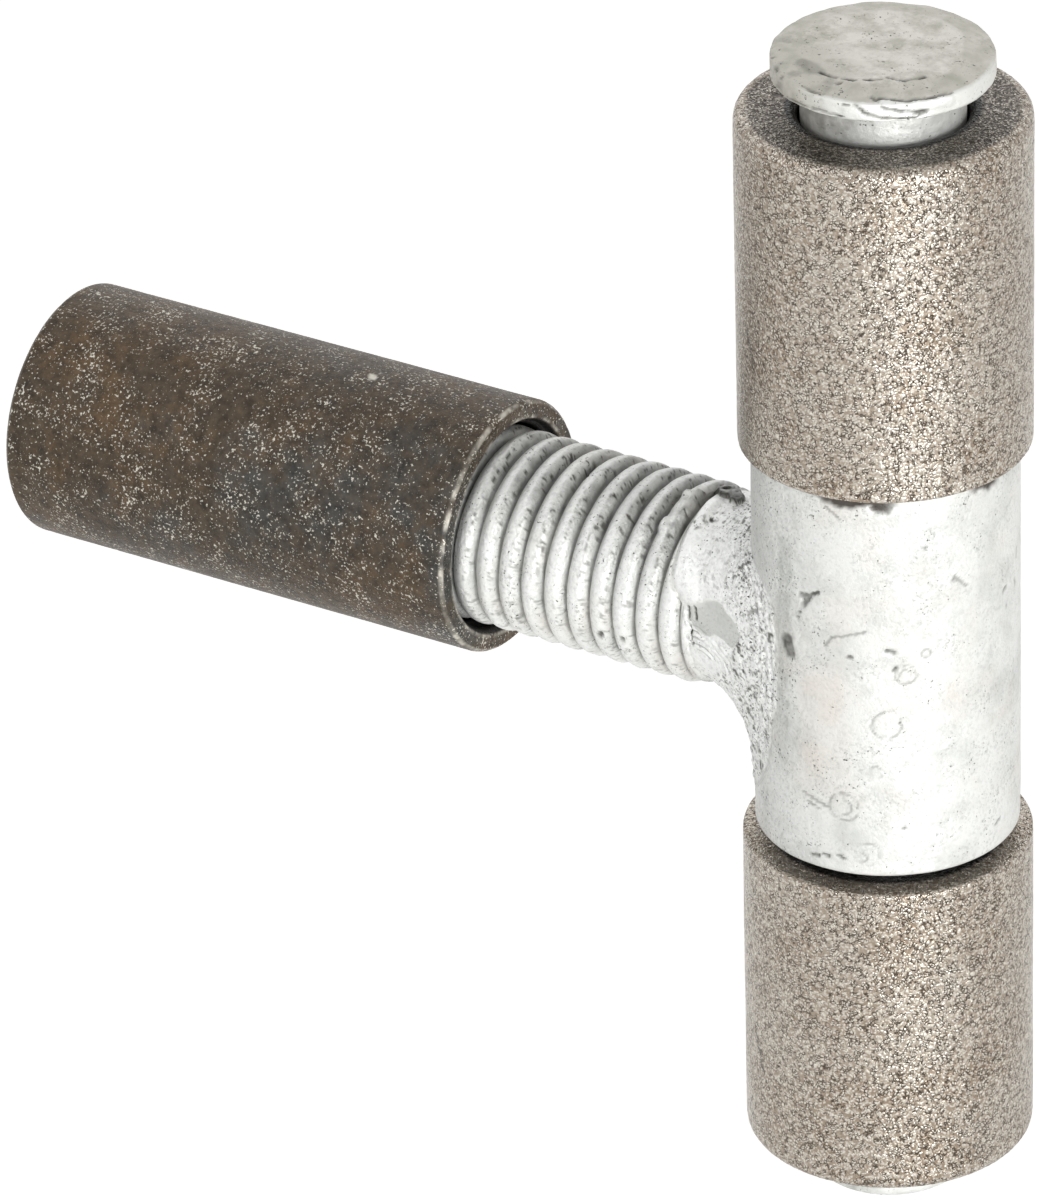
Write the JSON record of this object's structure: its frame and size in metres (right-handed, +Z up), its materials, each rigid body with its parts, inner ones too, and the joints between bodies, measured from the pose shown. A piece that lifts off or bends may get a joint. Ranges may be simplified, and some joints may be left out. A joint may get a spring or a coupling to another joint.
{
  "type": "adjustable gate hinge",
  "caption": "Weld-on gate hinge: headed pin through stacked barrels, with a threaded stud that screws in and out of a sleeve welded into the post.",
  "frame": {"origin": "middle of the post sleeve's length, on its axis", "axes": "+X along the stud, out of the post towards the hinge pin; +Z up along the hinge pin, head at the top; +Y completes the right-handed frame"},
  "size_m": [0.1306, 0.0342, 0.1473],
  "materials": {
    "mill_scale_steel": "bare steel with dark mill scale and fine scuffs",
    "galvanised_steel": "hot-dip galvanised, pale and matt",
    "cast_steel": "cast and blasted, coarse grain",
    "dull_zinc_steel": "forged and galvanised, dull grey"
  },
  "bodies": {
    "post_side": {"post_sleeve": "mill_scale_steel"},
    "eye": {"adjusting_stud": "galvanised_steel", "stud_weld": "galvanised_steel", "centre_barrel": "galvanised_steel"},
    "pin": {"hinge_pin": "dull_zinc_steel"},
    "upper": {"upper_barrel": "cast_steel"},
    "lower": {"lower_barrel": "cast_steel"}
  },
  "joints": [
    {"name": "reach_adjust", "type": "slide", "parent": "post_side", "child": "eye", "axis": [1, 0, 0], "range_m": [-0.0234, 0.0157]},
    {"name": "pin_lift", "type": "slide", "parent": "eye", "child": "pin", "axis": [0, 0, 1], "range_m": [-0.0042, 0.145]},
    {"name": "upper_swing", "type": "hinge", "parent": "eye", "child": "upper", "pos_m": [0.0824, 0, 0.0469], "axis": [0, 0, 1], "continuous": true},
    {"name": "lower_swing", "type": "hinge", "parent": "eye", "child": "lower", "pos_m": [0.0824, 0, -0.04605], "axis": [0, 0, 1], "continuous": true}
  ]
}
